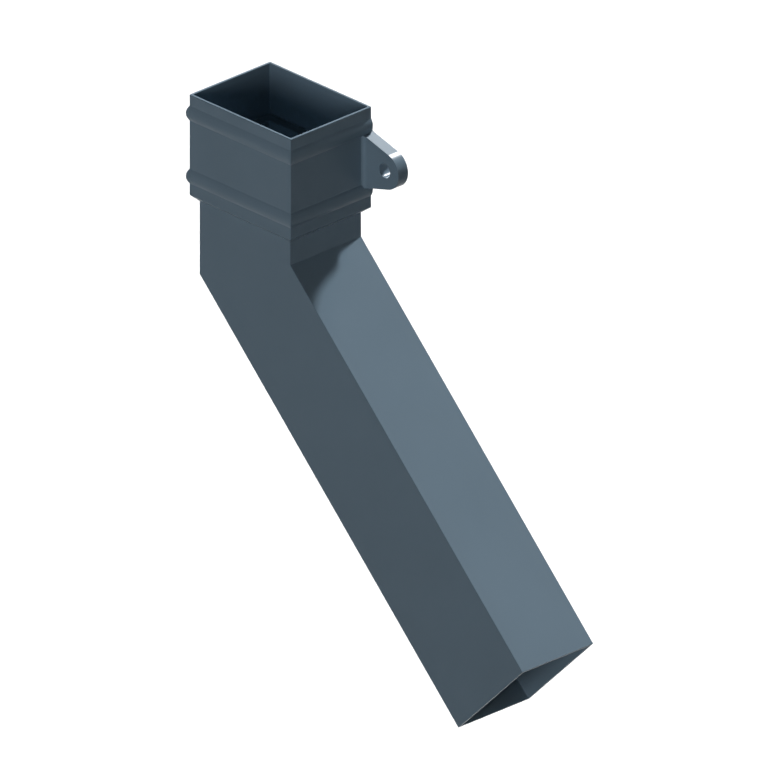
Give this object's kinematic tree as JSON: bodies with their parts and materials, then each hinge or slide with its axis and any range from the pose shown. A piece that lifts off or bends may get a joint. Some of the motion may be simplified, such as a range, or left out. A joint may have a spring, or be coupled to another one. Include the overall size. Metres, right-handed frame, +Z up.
{
  "type": "downpipe elbow",
  "caption": "Rectangular downpipe elbow with a beaded eared socket, a mitred 45 degree bend and a long open tail.",
  "frame": {"origin": "on the wall plane, at the backs of the ears, midway between the two fixing holes", "axes": "+Y into the wall, +Z up along the socket's axis, and the tail runs down towards +X"},
  "size_m": [0.4082, 0.091, 0.445],
  "materials": {
    "paint": "slate-grey semi-gloss powder coat over cast aluminium"
  },
  "bodies": {
    "root": {"elbow": "paint"}
  },
  "joints": []
}
